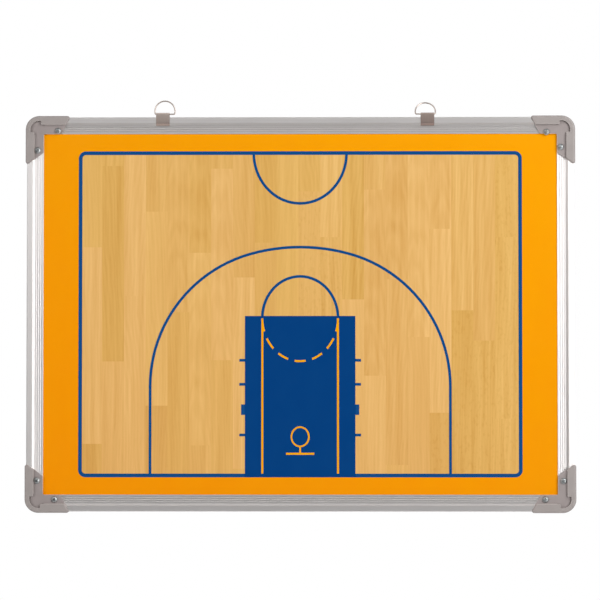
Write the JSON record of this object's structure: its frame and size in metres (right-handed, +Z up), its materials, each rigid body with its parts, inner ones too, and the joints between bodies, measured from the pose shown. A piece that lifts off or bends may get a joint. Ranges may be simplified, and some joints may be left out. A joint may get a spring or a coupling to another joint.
{
  "type": "basketball tactics board",
  "caption": "Framed magnetic tactics board with a printed half court, aluminium rails, plastic corner caps, and sliding clips with swinging rings to hang it by.",
  "frame": {"origin": "middle of the lower edge of the bottom corner caps, halfway through the frame's depth", "axes": "+X to the right as the viewer faces the printed court, +Y from the printed face to the back, +Z up"},
  "size_m": [0.6, 0.0176, 0.4498],
  "materials": {
    "rail_aluminium": "satin anodised, drawn along the rail",
    "cap_plastic": "warm grey, fine moulded grain",
    "screw_steel": "bright zinc plate",
    "face_steel": "white primer",
    "core_fibreboard": "raw fibreboard",
    "back_steel": "grey primer",
    "border_film": "orange print under a gloss dry-erase coat",
    "floor_film": "wood-floor print under a gloss dry-erase coat",
    "court_ink": "blue ink under a gloss dry-erase coat",
    "lane_ink": "orange ink under a gloss dry-erase coat",
    "clip_steel": "dull nickel plate",
    "ring_steel": "nickel plate"
  },
  "bodies": {
    "board": {"top_rail": "rail_aluminium", "bottom_rail": "rail_aluminium", "left_rail": "rail_aluminium", "right_rail": "rail_aluminium", "top_left_cap": "cap_plastic", "top_right_cap": "cap_plastic", "bottom_left_cap": "cap_plastic", "bottom_right_cap": "cap_plastic", "top_left_screws": "screw_steel", "top_right_screws": "screw_steel", "bottom_left_screws": "screw_steel", "bottom_right_screws": "screw_steel", "face_sheet": "face_steel", "core_board": "core_fibreboard", "back_sheet": "back_steel", "border_print": "border_film", "floor_print": "floor_film", "court_lines": "court_ink", "lane_lines": "lane_ink"},
    "left_hanger": {"left_clip": "clip_steel"},
    "right_hanger": {"right_clip": "clip_steel"},
    "left_d_ring": {"left_ring": "ring_steel"},
    "right_d_ring": {"right_ring": "ring_steel"}
  },
  "joints": [
    {"name": "left_clip_slide", "type": "slide", "parent": "board", "child": "left_hanger", "axis": [1, 0, 0], "range_m": [-0.092, 0.13]},
    {"name": "right_clip_slide", "type": "slide", "parent": "board", "child": "right_hanger", "axis": [1, 0, 0], "range_m": [-0.1185, 0.1035]},
    {"name": "left_ring_swing", "type": "hinge", "parent": "left_hanger", "child": "left_d_ring", "pos_m": [-0.1477, -0.00677, 0.4348], "axis": [1, 0, 0], "range_deg": [-95, 160]},
    {"name": "right_ring_swing", "type": "hinge", "parent": "right_hanger", "child": "right_d_ring", "pos_m": [0.1367, -0.00677, 0.4348], "axis": [1, 0, 0], "range_deg": [-69, 186]}
  ]
}
